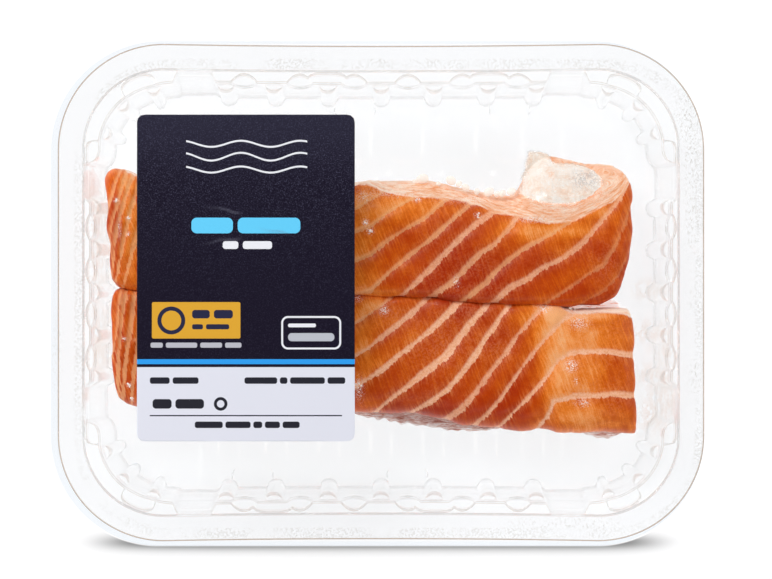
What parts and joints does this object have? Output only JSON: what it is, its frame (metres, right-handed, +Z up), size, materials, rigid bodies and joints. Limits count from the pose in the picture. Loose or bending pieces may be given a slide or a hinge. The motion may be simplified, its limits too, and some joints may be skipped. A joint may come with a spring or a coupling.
{
  "type": "pack of salmon fillet",
  "caption": "Sealed clear plastic tray with a ribbed wall, a film lid and a dark paper label, holding skin-on salmon fillets laid side by side.",
  "frame": {"origin": "under the middle of the film lid, on the surface the tray stands on", "axes": "+X along the pack's long side, away from the label, +Y towards the far long side, +Z up through the film"},
  "size_m": [0.192, 0.1484, 0.0384],
  "materials": {
    "clear_tray": "clear thin plastic sheet",
    "clear_film": "clear glossy film",
    "label_paper": "satin printed paper",
    "flesh": "moist raw flesh with pale fat lines",
    "fish_skin": "wet silvery skin",
    "lining": "wet white membrane"
  },
  "bodies": {
    "root": {"tray": "clear_tray", "lid_film": "clear_film", "label": "label_paper", "fillet_back": "flesh", "fillet_front": "flesh", "skin_back": "fish_skin", "skin_front": "fish_skin", "belly_lining": "lining"}
  },
  "joints": []
}
